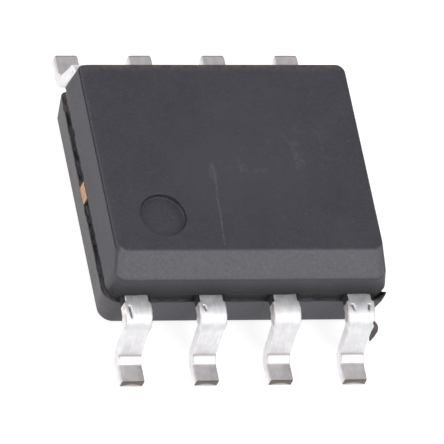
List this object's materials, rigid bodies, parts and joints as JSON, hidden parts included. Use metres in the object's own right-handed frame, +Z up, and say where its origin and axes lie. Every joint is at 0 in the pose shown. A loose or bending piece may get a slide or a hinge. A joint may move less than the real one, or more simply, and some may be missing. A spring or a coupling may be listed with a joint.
{
  "type": "soic chip",
  "caption": "Small-outline integrated circuit: black moulded body with a front bevel and a dimple, gull-wing leads along both long sides, leadframe, die and bond wires inside.",
  "frame": {"origin": "centre of the package on the seating plane, the plane of the soles of all the feet", "axes": "+X along the rows from lead 1 towards lead 4, +Y across the rows from leads 1 to 4 towards leads 5 to 8, +Z up from the board"},
  "size_m": [0.0048, 0.0062, 0.0017],
  "materials": {
    "mould_compound": "matte, fine grained",
    "tin_plate": "matte tin plate",
    "copper_strip": "bare sheared copper",
    "silver_adhesive": "matte, silver filled",
    "silicon": "polished",
    "gold_wire": "bright drawn gold"
  },
  "bodies": {
    "root": {"moulded_body": "mould_compound", "lead_1": "tin_plate", "lead_2": "tin_plate", "lead_3": "tin_plate", "lead_4": "tin_plate", "lead_5": "tin_plate", "lead_6": "tin_plate", "lead_7": "tin_plate", "lead_8": "tin_plate", "die_paddle": "copper_strip", "die_attach": "silver_adhesive", "silicon_die": "silicon", "bond_wire_1": "gold_wire", "bond_wire_2": "gold_wire", "bond_wire_3": "gold_wire", "bond_wire_4": "gold_wire", "bond_wire_5": "gold_wire", "bond_wire_6": "gold_wire", "bond_wire_7": "gold_wire", "bond_wire_8": "gold_wire"}
  },
  "joints": []
}
